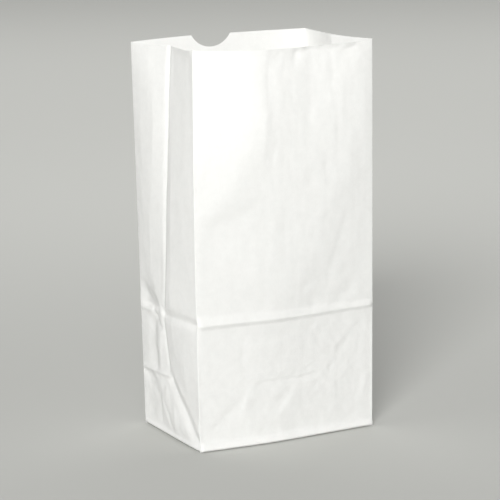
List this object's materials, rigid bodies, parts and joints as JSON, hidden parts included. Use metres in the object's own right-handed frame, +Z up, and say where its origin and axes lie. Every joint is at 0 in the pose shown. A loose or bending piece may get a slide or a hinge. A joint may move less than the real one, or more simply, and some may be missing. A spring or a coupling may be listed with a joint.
{
  "type": "paper lunch bag",
  "caption": "White paper bag with a flat bottom and side gussets, standing open, with a thumb notch in the rim of its back panel.",
  "frame": {"origin": "middle of the bag's bounding box, on the surface that it stands on", "axes": "+Z up towards the open rim, +Y towards the back panel with the thumb notch, +X along the width, to the right as seen from in front"},
  "size_m": [0.1668, 0.1058, 0.3144],
  "materials": {
    "white_paper": "matt machine-finished kraft, slightly cloudy, thin enough to let some light through"
  },
  "bodies": {
    "root": {"paper_bag": "white_paper"}
  },
  "joints": []
}
